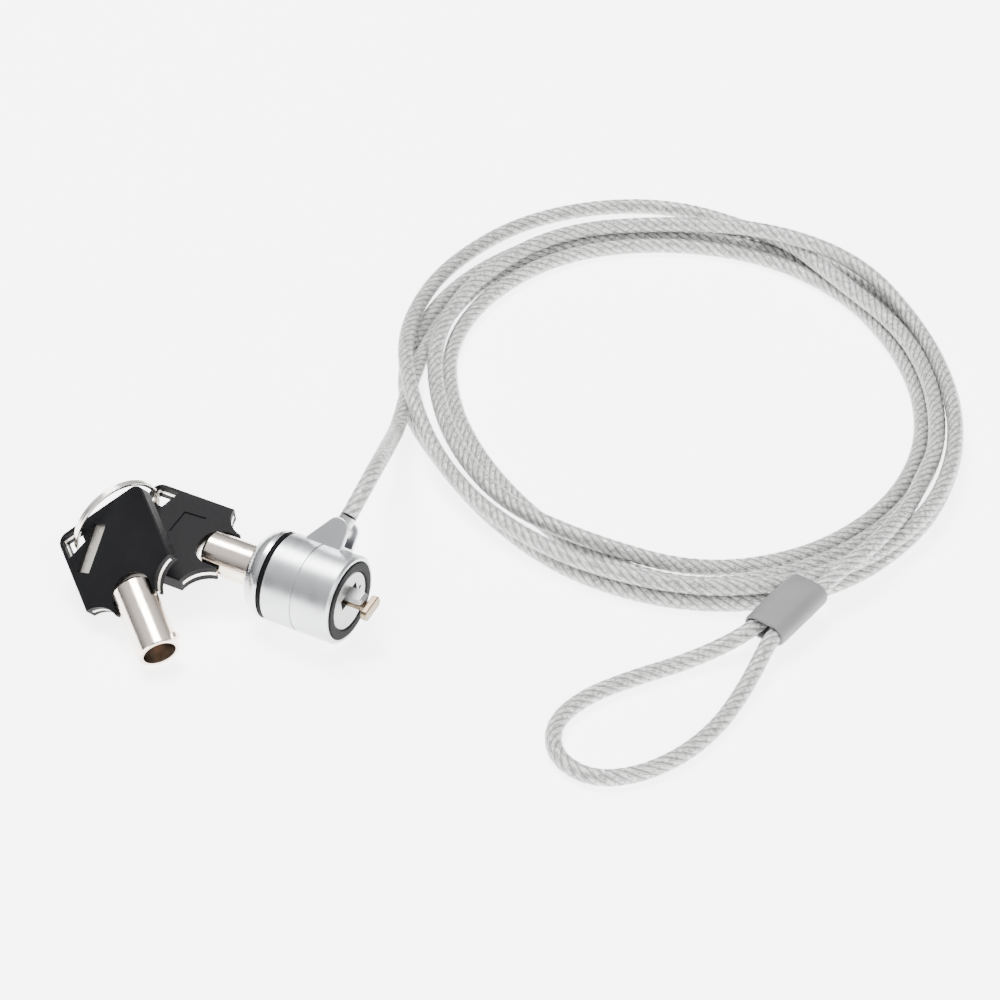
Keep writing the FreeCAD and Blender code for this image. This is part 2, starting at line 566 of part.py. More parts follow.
def bow_outline(inset, notched):
    """Corners and arcs of a key's bow; the plate inside it stands back by the inset."""
    side = "bow_half - %s" % inset
    end = "bow_end - %s" % inset
    centre = scallop_circle()
    rise = amount(side) - centre.y
    shoulder = "bow_start + %.4f" % (
        centre.x + math.sqrt(SIZES["scallop_r"] ** 2 - rise ** 2) - SIZES["bow_start"])
    corners = [(shoulder, side), (end, side), (end, "0 - bow_half + %s" % inset),
               (shoulder, "0 - bow_half + %s" % inset), ("scallop_start", "0 - scallop_end")]
    arcs = {3: ("scallop_r", False)}
    if notched:
        corners += [("scallop_start", "0 - notch_r"), ("notch_centre", "0 - notch_r"),
                    ("notch_centre", "notch_r"), ("scallop_start", "notch_r")]
        arcs[6] = ("notch_arc_r", False)
        arcs[9] = ("scallop_r", False)
    else:
        corners += [("scallop_start", "0 - notch_r"), ("plate_tongue", "0 - notch_r"),
                    ("plate_tongue", "notch_r"), ("scallop_start", "notch_r")]
        arcs[9] = ("scallop_r", False)
    corners.append(("scallop_start", "scallop_end"))
    return corners, arcs


def bow_cut(name, outline, low, high):
    """A straight-sided tool through part of the bow's thickness."""
    body = new_body(name, Placement(Vector(0, 0, low), Rotation()))
    sketch = new_sketch(body, name + "_outline", "XY_Plane")
    draw_loop(sketch, [(str(along), str(aside)) for along, aside in outline])
    pad = body.newObject("PartDesign::Pad", name + "_pad")
    pad.Profile = sketch
    pad.Length = high - low
    return body


def line_groove(name):
    """A shallow groove that follows the polygon marked on one bow face."""
    strips = []
    for index, (start, end) in enumerate(zip(LINE_MARK, LINE_MARK[1:])):
        way = Vector(end[0] - start[0], end[1] - start[1], 0)
        turn = Rotation(Vector(1, 0, 0), way)
        corner = Vector(start[0], start[1], SIZES["bow_half_thick"] - SIZES["line_depth"])
        aside = turn.multVec(Vector(-SIZES["line_width"] / 2, -SIZES["line_width"] / 2, 0))
        strip = primitive("Box", "%s_strip_%d" % (name, index + 1),
                          Placement(corner + aside, turn), Width="line_width",
                          Height="line_depth + overrun")
        strip.Length = way.Length + SIZES["line_width"]
        strips.append(strip)
    return strips


def make_key(name):
    """One tubular key.  Its own frame: X from the tip to the ring end, Y towards the ring hole."""
    tip, tipward, holeward = KEY_POSES[name]
    face = tipward.cross(holeward)
    place = Placement(tip, Rotation(tipward * -1, holeward, face * -1, "XYZ"))
    tube = turned(name + "_tube_blank", [
        ("0", "tube_bore_r"), ("0", "tube_r - tube_edge"), ("tube_edge", "tube_r"),
        ("tube_long - tube_neck", "tube_r"), ("tube_long", "tube_r - tube_neck"),
        ("tube_long", "0"), ("tube_floor", "0"), ("tube_floor", "tube_bore_r")])
    nib = primitive("Box", name + "_nib", Placement(
        Vector(SIZES["nib_front"], -SIZES["nib_top"], -SIZES["nib_half"]), Rotation()),
        Length="nib_back - nib_front", Width="nib_top - nib_root", Height="nib_half + nib_half")
    slit = primitive("Box", name + "_slit", Placement(
        Vector(SIZES["slit_start"], -SIZES["tube_r"] - SIZES["overrun"], -SIZES["slit_half"]),
        Rotation()), Length="tube_long - slit_start + overrun",
        Width="tube_r + tube_r + overrun + overrun", Height="slit_half + slit_half")
    slitted = cut(name + "_slit_tube", fused(name + "_tube_nib", [tube, nib]), slit)
    finished(name + "_tube", slitted, place)

    corners, arcs = bow_outline("plate_inset", False)
    plate = plate_body(name + "_plate_blank", "XY_Plane", corners,
                       "key_plate_half + key_plate_half", arcs)
    past = SIZES["bow_half_thick"] + SIZES["overrun"]
    hole = bow_cut(name + "_ring_hole", RING_HOLE, -past, past)
    finished(name + "_plate", cut(name + "_plate_holed", plate, hole), place)

    # The key's own Z axis looks away from the windowed cover.
    for side in ("front", "back"):
        corners, arcs = bow_outline("0", True)
        shell = plate_body("%s_%s_shell" % (name, side), "XY_Plane", corners, "bow_half_thick",
                           arcs, symmetric=False)
        ring_end = SIZES["bow_end"] - SLACK
        rim = SIZES["bow_half_thick"] - SLACK
        rounded(shell, lambda edge: edge.BoundBox.XMin > ring_end
                and edge.BoundBox.ZLength > rim and edge.BoundBox.YLength < SLACK,
                "bow_corner_r")
        side_line = SIZES["bow_half"] - SIZES["bow_corner_r"] - SLACK
        rounded(shell, lambda edge: edge.BoundBox.ZMin > rim
                and max(edge.BoundBox.YMax, -edge.BoundBox.YMin) > side_line
                and edge.BoundBox.XMax > ring_end - SIZES["bow_corner_r"], "cover_round")
        tools = [bow_cut("%s_%s_hole" % (name, side), RING_HOLE, -past, past)]
        if side == "front":
            tools.append(bow_cut(name + "_window", WINDOW, 0, past))
        else:
            tools += line_groove(name)
        tools.append(primitive("Box", "%s_%s_pocket" % (name, side), Placement(
            Vector(SIZES["scallop_start"] - SIZES["overrun"],
                   SIZES["pocket_edge"] - SIZES["bow_half"], -SIZES["key_plate_half"]),
            Rotation()), Length="bow_end - scallop_start + overrun - pocket_edge",
            Width="bow_half + bow_half - pocket_edge - pocket_edge",
            Height="key_plate_half + key_plate_half"))
        cover = cut("%s_%s_cover" % (name, side), shell,
                    fused("%s_%s_tools" % (name, side), tools))
        if side == "front":
            finished(name + "_cover_front", cover, place)
        else:
            flipped = document.addObject("Part::Mirroring", name + "_flipped_cover")
            flipped.Source = cover
            flipped.Normal = Vector(0, 0, 1)
            finished(name + "_cover_back", flipped, place)


def make_split_ring():
    turn = Rotation(Vector(0, 0, 1), RING_NORMAL)
    loops = []
    for name, sign in (("upper", 1), ("lower", -1)):
        shift = turn.multVec(Vector(0, 0, sign * SIZES["ring_pitch"]))
        loops.append(primitive("Torus", name + "_turn", Placement(RING_CENTRE + shift, turn),
                               Radius1="ring_r", Radius2="ring_wire_r"))
    finished("split_ring", fused("split_ring_solid", loops))


make_lock_body()
make_bezel()
make_nose()
make_t_bar()
make_works()
make_terminal()
cable_tube("cable_lead", LEAD)
make_coil()
cable_tube("cable_tail", TAIL)
cable_tube("cable_eye", EYE)
make_ferrule()
for key_name in KEY_POSES:
    make_key(key_name)
make_split_ring()
document.recompute()

failures = [thing.Name for thing in document.Objects
            if "Invalid" in thing.State or "Error" in thing.State]
for name, thing in PARTS:
    shape = thing.Shape
    if shape.isNull() or not shape.isValid() or not shape.Solids:
        failures.append(name)
if failures:
    raise SystemExit("not built: " + ", ".join(failures))

os.makedirs("parts", exist_ok=True)
for name, thing in PARTS:
    thing.Shape.exportStep(os.path.join("parts", name + ".step"))
    print("%-18s %d solid, %9.1f mm3" % (name, len(thing.Shape.Solids), thing.Shape.Volume))
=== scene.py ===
import math

import bpy
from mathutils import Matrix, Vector


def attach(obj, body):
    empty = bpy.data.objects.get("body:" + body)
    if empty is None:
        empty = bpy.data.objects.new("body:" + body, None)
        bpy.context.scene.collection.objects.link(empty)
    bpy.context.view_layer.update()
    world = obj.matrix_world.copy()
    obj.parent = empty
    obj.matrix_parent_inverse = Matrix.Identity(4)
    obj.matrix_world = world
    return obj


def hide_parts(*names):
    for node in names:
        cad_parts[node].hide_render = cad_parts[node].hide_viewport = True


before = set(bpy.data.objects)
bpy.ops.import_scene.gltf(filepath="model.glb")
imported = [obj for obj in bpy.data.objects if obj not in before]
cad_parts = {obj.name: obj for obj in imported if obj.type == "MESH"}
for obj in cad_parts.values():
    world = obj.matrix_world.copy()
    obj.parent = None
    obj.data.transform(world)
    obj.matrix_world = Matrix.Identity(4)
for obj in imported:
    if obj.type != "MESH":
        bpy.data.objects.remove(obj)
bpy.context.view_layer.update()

# Laptop cable lock.  Metres, in the CAD's own frame: the origin is the centre of the lock's nose,
# +X points out of it and +Z is up.  Everything lies on a surface 10 mm below the lock's axis.

MM = 0.001
FLOOR = -10 * MM
CABLE_R = 1.9 * MM


def point(values):
    return Vector(values) * MM


# ---------------------------------------------------------------- camera

CAMERA_TURN = math.radians(28.9)
CAMERA_RISE = math.radians(38.6)
CAMERA_PLACE = (0.34258, -0.55420, 0.54730)
CAMERA_LENS = 142.38
CAMERA_SENSOR = 36.0


def add_camera():
    data = bpy.data.cameras.new("camera")
    data.sensor_width = CAMERA_SENSOR
    data.lens = CAMERA_LENS
    camera = bpy.data.objects.new("camera", data)
    camera.location = CAMERA_PLACE
    camera.rotation_euler = (math.pi / 2 - CAMERA_RISE, 0.0, CAMERA_TURN)
    bpy.context.scene.collection.objects.link(camera)
    bpy.context.scene.camera = camera


# ---------------------------------------------------------------- the cable's route

# Control points in millimetres, from the lock's terminal to the end of the eye.
LEAD = [(-7.3, 12.0, 12.0), (-7.0, 18.1, 15.3), (-8.6, 25.3, 15.0), (-11.5, 33.4, 12.0),
        (-15.3, 42.1, 7.4), (-19.4, 51.0, 2.1), (-23.4, 59.9, -2.9), (-26.8, 68.5, -4.6)]
TAIL = [(88.0, 104.0, -4.4), (90.2, 92.0, -3.4), (90.8, 80.0, -0.8), (89.5, 69.0, -0.6),
        (86.6, 61.5, -1.9), (84.9, 55.3, -3.4)]
EYE = [(82.1, 38.5, -4.8), (82.7, 31.4, -6.0), (83.3, 22.0, -7.6), (83.4, 10.4, -8.1),
       (81.0, -1.4, -8.1), (75.4, -11.6, -8.1), (67.2, -17.2, -8.1), (57.6, -14.6, -8.1),
       (52.4, -5.6, -8.1), (54.4, 5.2, -8.1), (60.6, 15.4, -8.1), (67.4, 24.4, -8.1),
       (73.6, 32.6, -6.6), (77.6, 39.3, -4.8), (78.6, 45.0, -4.4)]

# The coil is wound on an oval, clockwise from above, starting at its left.  Millimetres, degrees.
COIL_CENTRE = (25.5, 108.0)
OVAL_LONG = 70.7
OVAL_SHORT = 57.3
OVAL_TURN = 135.0
COIL_START = 210.0
COIL_STEP = 22.5
# Each turn in 16 steps, the last cut short: how far outside the oval the cable's centre lies, and
# how high.
TURNS = [
    ([4.5, 1.4, -0.6, -2.8, -3.1, 0, 2, 1, 0.4, -0.9, -3.3, -4.4, -1.5, -3.5, -6.4, -6.4],
     [-4.2, -8.1, -8.1, -8.1, -8.1, -8.1, -8.1, -8.1, -8.1, -8.1, -8.1, -8.1, -8.1, -8.1, -8.1,
      -8.1]),
    ([-5.2, -3.7, -5.2, -6.4, -6.8, -3.6, -2.2, -3, -3.4, -4.6, -7.1, -8.6, -6.9, -4.2, -1.8, -1.6],
     [-8.1, -8.1, -8.1, -8.1, -8.1, -8.1, -8.1, -8.1, -8.1, -8.1, -8.1, -8.1, -7.4, -3.9, -5.2,
      -5.4]),
    ([-1.5, -0.5, -2, -2.2, -4, -2.2, 2.7, 3, 2.8, 3.7, 4.4, 3.6, 2.8, 3, 4, 4.3],
     [-5.4, -4.9, -4.4, -4.4, -4.2, -0.7, -1.2, -4.4, -4.3, -4.3, -4.2, -4.5, -4.5, -4.6, -4.5,
      -4.2]),
    ([5.2, 6.7, 8.7, 11.2, 9.2, 4.6, 5.7, 4.9, 4.2, 3.5, 3.4, 4.2, 4.3, 3.6, 1.9, 2.2],
     [0, -3.9, -6.8, -8.1, -7.2, -8.1, -8.1, -8.1, -8.1, -8.1, -8.1, -8.1, -8.1, -8.1, -8.1, -7.6]),
    ([6, 5.6, 3.3, 1, 0.7, 1.8, -3.4, -1.2, -1, -1],
     [-8.1, -8.1, -8.1, -8.1, -8.1, -4, -4.4, -4.5, -4.5, -4.3]),
]
SPLINE_SMOOTHNESS = 10
JACKET_SMOOTHNESS = 6


def oval_radius(angle):
    """The oval's radius in millimetres at an angle in degrees."""
    along = math.cos(math.radians(angle - OVAL_TURN)) / OVAL_LONG
    across = math.sin(math.radians(angle - OVAL_TURN)) / OVAL_SHORT
    return 1.0 / math.hypot(along, across)


def coil_points():
    """The coil's control points.  The spline runs a little inside them, which reach makes up."""
    reach = 1.0 / math.cos(math.radians(COIL_STEP / 2))
    points = []
    angle = COIL_START
    for offsets, heights in TURNS:
        for offset, height in zip(offsets, heights):
            radius = (oval_radius(angle) + offset) * reach
            points.append((COIL_CENTRE[0] + radius * math.cos(math.radians(angle)),
                           COIL_CENTRE[1] + radius * math.sin(math.radians(angle)), height))
            angle -= COIL_STEP
    return points


def add_spline(name, route, bevel=0.0):
    """One NURBS spline through the route, a tube when bevel is its radius."""
    data = bpy.data.curves.new(name, "CURVE")
    data.dimensions = "3D"
    data.resolution_u = SPLINE_SMOOTHNESS
    data.bevel_depth = bevel
    data.bevel_resolution = JACKET_SMOOTHNESS
    data.use_fill_caps = True
    spline = data.splines.new("NURBS")
    spline.points.add(len(route) - 1)
    for control, place in zip(spline.points, route):
        control.co = (*point(place), 1.0)
    spline.order_u = 3
    spline.use_endpoint_u = True
    curve = bpy.data.objects.new(name, data)
    bpy.context.scene.collection.objects.link(curve)
    return curve


def curve_line(route):
    """Points along the bare spline, as Blender draws it."""
    bare = add_spline("bare_line", route)
    mesh = bpy.data.meshes.new_from_object(bare)
    line = [vertex.co.copy() for vertex in mesh.vertices]
    bpy.data.objects.remove(bare)
    return line


def evenly(line, step):
    """The same line at equal steps, with each point's distance from the start."""
    spots = [line[0]]
    run = [0.0]
    travelled = 0.0
    wanted = step
    for start, end in zip(line, line[1:]):
        length = (end - start).length
        while length > 0 and travelled + length >= wanted:
            spots.append(start.lerp(end, (wanted - travelled) / length))
            run.append(wanted)
            wanted += step
        travelled += length
    return spots, run


def frames_along(spots):
    """Two directions across the line at each point, carried along without twisting."""
    tangents = [(after - before).normalized() for before, after in
                zip([spots[0]] + spots[:-1], spots[1:] + [spots[-1]])]
    across = tangents[0].orthogonal().normalized()
    result = []
    for before, tangent in zip([tangents[0]] + tangents[:-1], tangents):
        across = before.rotation_difference(tangent) @ across
        across = (across - tangent * across.dot(tangent)).normalized()
        result.append((across, tangent.cross(across)))
    return result


# ---------------------------------------------------------------- wire rope

STRANDS = 6
STRAND_R = 0.64 * MM
STRAND_CIRCLE = 1.22 * MM    # the strands' centres stand this far from the rope's axis
GROOVE_R = 1.73 * MM         # the grooves between strands are filled out to this
LAY_LENGTH = 15.0 * MM       # one full twist of the rope
ROPE_STEP = 0.85 * MM
POINTS_PER_STRAND = 6


def rope_radius(turn):
    """How far the rope's outline stands from its axis: round strands, their grooves filled."""
    sector = 2 * math.pi / STRANDS
    offset = (turn + sector / 2) % sector - sector / 2
    side = STRAND_CIRCLE * math.sin(offset)
    crown = STRAND_CIRCLE * math.cos(offset) + math.sqrt(max(STRAND_R ** 2 - side ** 2, 0.0))
    return max(crown, GROOVE_R)


def add_rope(name, line):
    """The wire rope inside the jacket: six strands wound round each other.

    Its map "lay" counts strands across it and twists along it.
    """
    spots, run = evenly(line, ROPE_STEP)
    sides = STRANDS * POINTS_PER_STRAND
    verts = []
    laid = []
    for spot, (across, other), distance in zip(spots, frames_along(spots), run):
        twist = 2 * math.pi * distance / LAY_LENGTH
        for side in range(sides):
            turn = 2 * math.pi * side / sides
            radius = rope_radius(turn)
            way = across * math.cos(turn + twist) + other * math.sin(turn + twist)
            verts.append(spot + way * radius)
            laid.append((side / sides, distance))
    faces = []
    for ring in range(len(spots) - 1):
        for side in range(sides):
            following = (side + 1) % sides
            faces.append((ring * sides + side, ring * sides + following,
                          (ring + 1) * sides + following, (ring + 1) * sides + side))
    mesh = bpy.data.meshes.new(name)
    mesh.from_pydata(verts, [], faces)
    marks = mesh.uv_layers.new(name="lay")
    for polygon in mesh.polygons:
        # The face that closes a ring ends at 1, where its vertices alone would say 0.
        wraps = polygon.vertices[1] % sides == 0
        for loop, vertex in zip(polygon.loop_indices, polygon.vertices):
            around, along = laid[vertex]
            if wraps and vertex % sides == 0:
                around = 1.0
            marks.data[loop].uv = (around * STRANDS, along / LAY_LENGTH)
    mesh.shade_smooth()
    rope = bpy.data.objects.new(name, mesh)
    bpy.context.scene.collection.objects.link(rope)
    return rope


# ---------------------------------------------------------------- ferrule

FERRULE_CENTRE = (81.2, 47.3, -4.2)
FERRULE_AXIS = Vector((0.16, 0.985, 0.06)).normalized()
FERRULE_LONG = 17.0 * MM
FERRULE_PITCH = 4.6 * MM
FERRULE_ARC_POINTS = 20
# The wall at one end, from its outside over the rim and into the bore, in millimetres: a lobe's
# radius, and how far in from the end.
FERRULE_RIM = [(2.9, 8.5), (2.93, 5.0), (2.9, 2.2), (2.88, 0.7), (2.8, 0.3), (2.66, 0.08),
               (2.5, 0.0), (2.3, 0.02), (2.14, 0.14), (2.06, 0.5), (2.03, 3.0), (2.03, 8.5)]


def add_ferrule():
    """The crimped sleeve: two round lobes side by side, open at both ends."""
    across = Vector((FERRULE_AXIS.y, -FERRULE_AXIS.x, 0.0)).normalized()
    upward = across.cross(FERRULE_AXIS)
    middle = point(FERRULE_CENTRE)
    # Round the wall's section: one end's rim, then the other's backwards without its shared ends.
    stations = [(radius * MM, sign * (FERRULE_LONG / 2 - inward * MM))
                for sign, rim in ((1, FERRULE_RIM), (-1, FERRULE_RIM[-2:0:-1]))
                for radius, inward in rim]
    turns = 2 * FERRULE_ARC_POINTS
    verts = []
    for radius, along in stations:
        for step in range(turns):
            lobe = 1 if step < FERRULE_ARC_POINTS else -1
            share = (step % FERRULE_ARC_POINTS) / (FERRULE_ARC_POINTS - 1)
            turn = math.pi * (share - lobe / 2)
            aside = lobe * FERRULE_PITCH / 2 + radius * math.cos(turn)
            verts.append(middle + across * aside + upward * radius * math.sin(turn)
                         + FERRULE_AXIS * along)
    faces = []
    for index in range(len(stations)):
        following = (index + 1) % len(stations)
        for step in range(turns):
            after = (step + 1) % turns
            faces.append((index * turns + step, following * turns + step,
                          following * turns + after, index * turns + after))
    mesh = bpy.data.meshes.new("ferrule_sleeve")
    mesh.from_pydata(verts, [], faces)
    mesh.shade_smooth()
    sleeve = bpy.data.objects.new("ferrule_sleeve", mesh)
    bpy.context.scene.collection.objects.link(sleeve)
    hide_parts("ferrule")
    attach(sleeve, "cable")
    return sleeve


# ---------------------------------------------------------------- materials

# Nearly all values of Blender's noise lie in this span.
NOISE_SPAN = (0.3, 0.7)
CLOUD_SCALE = 90.0
CLOUD_DETAIL = 3.0
GRAIN_DETAIL = 5.0
METAL = 1.0


def node(tree, kind, **inputs):
    """A new shader node, with the sockets of these names set."""
    made = tree.nodes.new("ShaderNode" + kind)
    for name, value in inputs.items():
        made.inputs[name.replace("_", " ")].default_value = value
    return made


def noise(tree, scale, detail, stretch=None):
    """Noise in the object's own metres, drawn out along an axis when stretch is given."""
    place = tree.nodes.new("ShaderNodeTexCoord")
    texture = node(tree, "TexNoise", Scale=scale, Detail=detail)
    if stretch is None:
        tree.links.new(place.outputs["Object"], texture.inputs["Vector"])
        return texture
    mapping = tree.nodes.new("ShaderNodeMapping")
    mapping.inputs["Scale"].default_value = stretch
    tree.links.new(place.outputs["Object"], mapping.inputs["Vector"])
    tree.links.new(mapping.outputs["Vector"], texture.inputs["Vector"])
    return texture


def spread(tree, source, low, high, span=NOISE_SPAN):
    """The source's span of values mapped to low and high."""
    made = node(tree, "MapRange", From_Min=span[0], From_Max=span[1], To_Min=low, To_Max=high)
    tree.links.new(source, made.inputs["Value"])
    return made.outputs["Result"]


def two_tone(tree, source, dark, light, span=NOISE_SPAN):
    """A colour running from dark to light over the source's span of values."""
    ramp = tree.nodes.new("ShaderNodeValToRGB")
    for stop, position, colour in zip(ramp.color_ramp.elements, span, (dark, light)):
        stop.position = position
        stop.color = (*colour, 1)
    tree.links.new(source, ramp.inputs["Fac"])
    return ramp.outputs["Color"]


def bump(tree, source, strength, distance):
    """A normal roughened by the source's values."""
    made = node(tree, "Bump", Strength=strength, Distance=distance)
    tree.links.new(source, made.inputs["Height"])
    return made.outputs["Normal"]


def surface(name, dark, light, rough, metallic=0.0, grain=900.0, grain_stretch=None,
            bump_depth=0.02 * MM, bump_strength=0.2, specular=0.5):
    """A finished material: cloudy colour, uneven gloss and a fine grain."""
    made = bpy.data.materials.new(name)
    made.use_nodes = True
    tree = made.node_tree
    shader = tree.nodes["Principled BSDF"]
    shader.inputs["Metallic"].default_value = metallic
    shader.inputs["Specular IOR Level"].default_value = specular
    cloud = noise(tree, CLOUD_SCALE, CLOUD_DETAIL)
    fine = noise(tree, grain, GRAIN_DETAIL, grain_stretch)
    tree.links.new(two_tone(tree, cloud.outputs["Fac"], dark, light),
                   shader.inputs["Base Color"])
    tree.links.new(spread(tree, fine.outputs["Fac"], *rough), shader.inputs["Roughness"])
    tree.links.new(bump(tree, fine.outputs["Fac"], bump_strength, bump_depth),
                   shader.inputs["Normal"])
    return made


def dress(node_name, made):
    """Gives a CAD node its material."""
    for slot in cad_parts[node_name].material_slots:
        slot.material = made


JACKET_DARK = (0.5, 0.51, 0.5)
JACKET_LIGHT = (0.6, 0.61, 0.6)
JACKET_HAZE = 0.2
JACKET_ROUGHNESS = 0.28
PLASTIC_IOR = 1.5
RIPPLE_SCALE = 500.0
RIPPLE_DETAIL = 3.0


def jacket_material():
    """Clear plastic over the rope: nearly all see-through, with a milky haze and a gloss."""
    made = bpy.data.materials.new("clear_jacket")
    made.use_nodes = True
    tree = made.node_tree
    shader = tree.nodes["Principled BSDF"]
    shader.inputs["Roughness"].default_value = JACKET_ROUGHNESS
    shader.inputs["IOR"].default_value = PLASTIC_IOR
    ripple = noise(tree, RIPPLE_SCALE, RIPPLE_DETAIL)
    tree.links.new(two_tone(tree, ripple.outputs["Fac"], JACKET_DARK, JACKET_LIGHT),
                   shader.inputs["Base Color"])
    shader.inputs["Alpha"].default_value = JACKET_HAZE
    tree.links.new(bump(tree, ripple.outputs["Fac"], 0.15, 0.05 * MM), shader.inputs["Normal"])
    return made


ROPE_DARK = (0.16, 0.163, 0.155)
ROPE_LIGHT = (0.82, 0.83, 0.80)
# Painted shade: the colour that the grooves between strands are darkened to.
ROPE_GROOVE_SHADE = (0.06, 0.062, 0.057)
ROPE_METAL = 0.25
ROPE_ROUGHNESS = (0.42, 0.3)
BANDS_PER_LAY = (3.0, 9.0, 1.0)
WIRE_SHARE = 0.45
# Painted highlight: small bright glints added to the rope's colour.
GLINT_SHARE = 0.6
GLINT_SCALE = 1100.0
GLINT_DETAIL = 2.0
# Where the painted groove shade starts across a strand, and how far it covers.
GROOVE_SPAN = (0.22, 0.5)
GROOVE_COVER = 0.92


def wire_bands(tree, lay):
    """Fine bands that cross each strand at a slant, like its wires."""
    mapping = tree.nodes.new("ShaderNodeMapping")
    mapping.inputs["Scale"].default_value = BANDS_PER_LAY
    tree.links.new(lay.outputs["UV"], mapping.inputs["Vector"])
    wires = node(tree, "TexWave", Scale=1.0, Distortion=2.0, Detail=2.0)
    wires.bands_direction = "DIAGONAL"
    tree.links.new(mapping.outputs["Vector"], wires.inputs["Vector"])
    return wires.outputs["Fac"]


def wire_shade(tree, wires):
    """The wires' colour, broken up by small painted glints."""
    # Painted glints: noise flecks that lighten the wires' colour.
    painted_glints = noise(tree, GLINT_SCALE, GLINT_DETAIL)
    mixed = tree.nodes.new("ShaderNodeMath")
    mixed.operation = "MULTIPLY_ADD"
    tree.links.new(wires, mixed.inputs[0])
    mixed.inputs[1].default_value = WIRE_SHARE
    tree.links.new(spread(tree, painted_glints.outputs["Fac"], 0.0, GLINT_SHARE), mixed.inputs[2])
    return two_tone(tree, mixed.outputs["Value"], ROPE_DARK, ROPE_LIGHT)


def groove_shade_mask(tree, lay):
    """Where the painted shade falls: 0 on a strand's crown, rising to GROOVE_COVER between two
    strands.
    """
    parts = tree.nodes.new("ShaderNodeSeparateXYZ")
    tree.links.new(lay.outputs["UV"], parts.inputs["Vector"])
    groove = tree.nodes.new("ShaderNodeMath")
    groove.operation = "PINGPONG"
    groove.inputs[1].default_value = 0.5
    tree.links.new(parts.outputs["X"], groove.inputs[0])
    return spread(tree, groove.outputs["Value"], 0.0, GROOVE_COVER, GROOVE_SPAN)


def rope_material():
    """Galvanised wires laid along each strand, with painted shade darkening the grooves between the
    strands.
    """
    made = bpy.data.materials.new("wire_rope")
    made.use_nodes = True
    tree = made.node_tree
    shader = tree.nodes["Principled BSDF"]
    shader.inputs["Metallic"].default_value = ROPE_METAL
    lay = tree.nodes.new("ShaderNodeUVMap")
    lay.uv_map = "lay"
    wires = wire_bands(tree, lay)
    # Painted shade: between the strands the colour is darkened towards the groove shade colour.
    groove_shade_mix = tree.nodes.new("ShaderNodeMix")
    groove_shade_mix.data_type = "RGBA"
    tree.links.new(groove_shade_mask(tree, lay), groove_shade_mix.inputs["Factor"])
    tree.links.new(wire_shade(tree, wires), groove_shade_mix.inputs["A"])
    groove_shade_mix.inputs["B"].default_value = (*ROPE_GROOVE_SHADE, 1)
    tree.links.new(groove_shade_mix.outputs["Result"], shader.inputs["Base Color"])
    tree.links.new(spread(tree, wires, *ROPE_ROUGHNESS), shader.inputs["Roughness"])
    tree.links.new(bump(tree, wires, 0.5, 0.08 * MM), shader.inputs["Normal"])
    return made


def add_materials(ferrule):
    satin = surface("satin_silver", (0.47, 0.48, 0.495), (0.55, 0.56, 0.575), (0.3, 0.38), METAL,
                    grain=700.0, grain_stretch=(1.0, 0.25, 0.25))
    polished = surface("polished_silver", (0.58, 0.59, 0.605), (0.66, 0.67, 0.685), (0.2, 0.27),
                       METAL)
    rubber = surface("black_rubber", (0.003, 0.003, 0.0032), (0.006, 0.006, 0.0065), (0.5, 0.65),
                     grain=2500.0, bump_strength=0.3, specular=0.06)
    zinc = surface("zinc_nose", (0.3, 0.3, 0.3), (0.42, 0.42, 0.41), (0.38, 0.5), METAL,
                   grain=3000.0, bump_strength=0.35)
    steel = surface("lock_steel", (0.45, 0.45, 0.46), (0.56, 0.56, 0.57), (0.25, 0.35), METAL)
    brass = surface("lock_brass", (0.6, 0.43, 0.18), (0.72, 0.54, 0.26), (0.22, 0.34), METAL)
    bar = surface("bar_nickel", (0.18, 0.135, 0.09), (0.27, 0.21, 0.145), (0.25, 0.36), METAL,
                  grain=2200.0)
    nickel = surface("key_nickel", (0.72, 0.63, 0.55), (0.82, 0.73, 0.65), (0.14, 0.22), METAL,
                     grain=500.0)
    plate = surface("plate_nickel", (0.82, 0.78, 0.72), (0.88, 0.84, 0.78), (0.42, 0.52), METAL)
    bow = surface("bow_black", (0.003, 0.003, 0.0035), (0.0055, 0.0055, 0.0065), (0.5, 0.6),
                  grain=4000.0, bump_strength=0.3, bump_depth=0.01 * MM, specular=0.1)
    ring = surface("ring_nickel", (0.74, 0.71, 0.66), (0.84, 0.81, 0.76), (0.16, 0.24), METAL)
    grey = surface("ferrule_grey", (0.13, 0.13, 0.134), (0.165, 0.165, 0.17), (0.5, 0.62),
                   grain=1800.0, bump_strength=0.3)
    worn_by = [
        (satin, ("lock_body",)),
        (polished, ("rear_bezel",)),
        (rubber, ("nose_ring", "bezel_o_ring")),
        (zinc, ("nose_plate",)),
        (steel, ("lock_sleeve", "yoke_pin", "retaining_clip", "pin_springs", "cable_terminal")),
        (brass, ("pin_housing", "rotor", "driver_pins", "tumbler_pins")),
        (bar, ("t_bar",)),
        (nickel, ("key_1_tube", "key_2_tube")),
        (plate, ("key_1_plate", "key_2_plate")),
        (bow, ("key_1_cover_front", "key_1_cover_back", "key_2_cover_front",
               "key_2_cover_back")),
        (ring, ("split_ring",)),
    ]
    for made, node_names in worn_by:
        for node_name in node_names:
            dress(node_name, made)
    ferrule.data.materials.append(grey)


# ---------------------------------------------------------------- floor and light

FLOOR_HALF = 3.0
FLOOR_GLOW = 4.2
SKY_STRENGTH = 1.15
# The sky's stops by height, from the horizon up.
SKY_DARK = (0.08, (0.08, 0.08, 0.085, 1))
SKY_LIGHT = (0.7, (1.0, 1.0, 1.0, 1))
LIGHT_AIM = (0.02, 0.05, 0.0)
# Each lamp's place, width and power.
KEY_LIGHT = ((-0.35, 0.25, 1.15), 0.7, 28.0)
FILL_LIGHT = ((0.9, -0.3, 0.7), 0.8, 10.0)


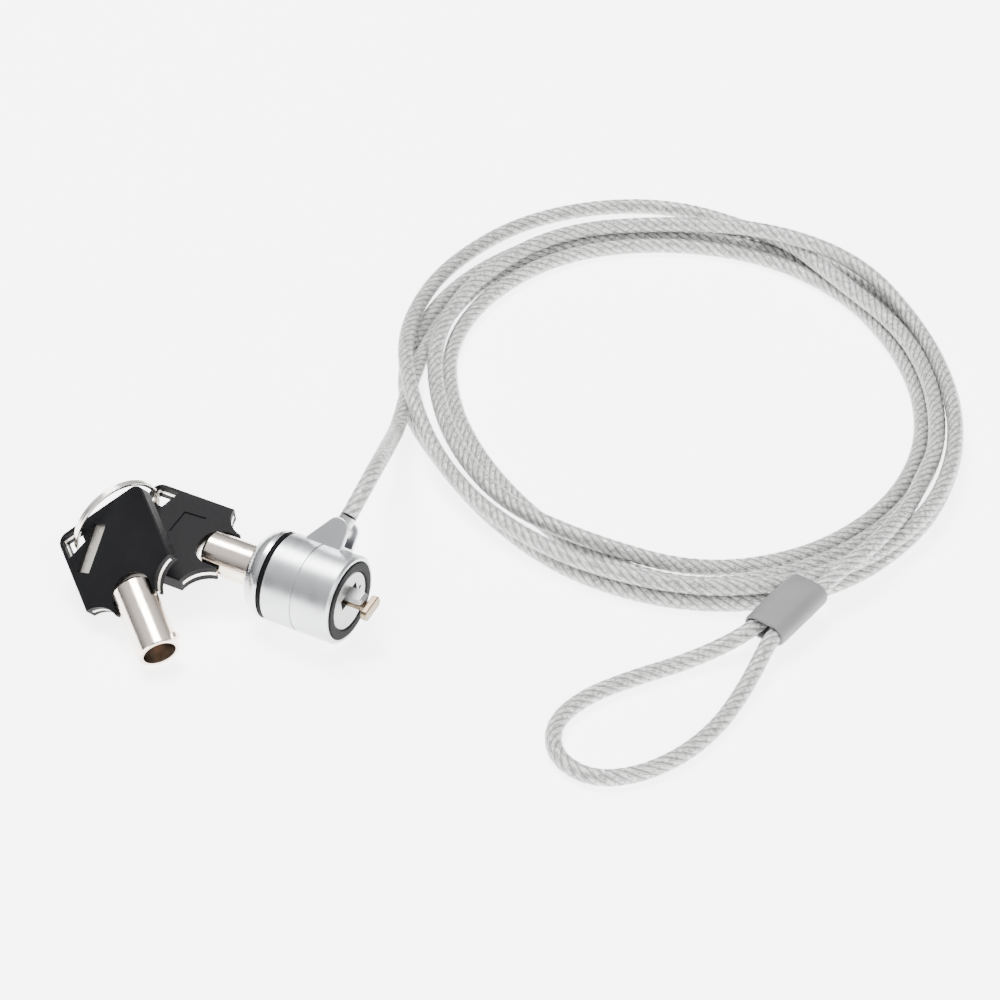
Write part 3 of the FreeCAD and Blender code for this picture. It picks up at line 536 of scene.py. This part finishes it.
def add_floor():
    """A pale glowing floor, which makes the plain white background."""
    mesh = bpy.data.meshes.new("floor")
    corners = [(-FLOOR_HALF, -FLOOR_HALF), (FLOOR_HALF, -FLOOR_HALF), (FLOOR_HALF, FLOOR_HALF),
               (-FLOOR_HALF, FLOOR_HALF)]
    mesh.from_pydata([(x, y, FLOOR) for x, y in corners], [], [(0, 1, 2, 3)])
    floor = bpy.data.objects.new("floor", mesh)
    bpy.context.scene.collection.objects.link(floor)
    made = surface("pale_floor", (0.9, 0.9, 0.9), (0.92, 0.92, 0.92), (0.85, 0.95), grain=60.0,
                   specular=0.1)
    shader = made.node_tree.nodes["Principled BSDF"]
    shader.inputs["Emission Color"].default_value = (1.0, 1.0, 1.0, 1)
    shader.inputs["Emission Strength"].default_value = FLOOR_GLOW
    mesh.materials.append(made)


def add_light(name, place, size, power):
    """A round lamp aimed at the middle of the part."""
    data = bpy.data.lights.new(name, "AREA")
    data.shape = "DISK"
    data.size = size
    data.energy = power
    light = bpy.data.objects.new(name, data)
    light.location = place
    way = Vector(LIGHT_AIM) - Vector(place)
    light.rotation_euler = way.to_track_quat("-Z", "Y").to_euler()
    bpy.context.scene.collection.objects.link(light)


def add_lights():
    world = bpy.data.worlds.new("studio")
    world.use_nodes = True
    tree = world.node_tree
    sky = tree.nodes["Background"]
    sky.inputs["Strength"].default_value = SKY_STRENGTH
    place = tree.nodes.new("ShaderNodeTexCoord")
    parts = tree.nodes.new("ShaderNodeSeparateXYZ")
    tree.links.new(place.outputs["Generated"], parts.inputs["Vector"])
    ramp = tree.nodes.new("ShaderNodeValToRGB")
    for stop, (position, colour) in zip(ramp.color_ramp.elements, (SKY_DARK, SKY_LIGHT)):
        stop.position = position
        stop.color = colour
    tree.links.new(parts.outputs["Z"], ramp.inputs["Fac"])
    tree.links.new(ramp.outputs["Color"], sky.inputs["Color"])
    bpy.context.scene.world = world
    add_light("key_light", *KEY_LIGHT)
    add_light("fill_light", *FILL_LIGHT)


# ---------------------------------------------------------------- build

add_camera()
ROUTE = LEAD + coil_points() + TAIL + EYE
LINE = curve_line(ROUTE)
jacket = add_spline("cable_jacket", ROUTE, CABLE_R)
jacket.data.materials.append(jacket_material())
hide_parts("cable_lead", "cable_coil", "cable_tail", "cable_eye")
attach(jacket, "cable")
rope = add_rope("wire_rope", LINE)
rope.data.materials.append(rope_material())
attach(rope, "cable")
ferrule = add_ferrule()

add_materials(ferrule)
add_floor()
add_lights()
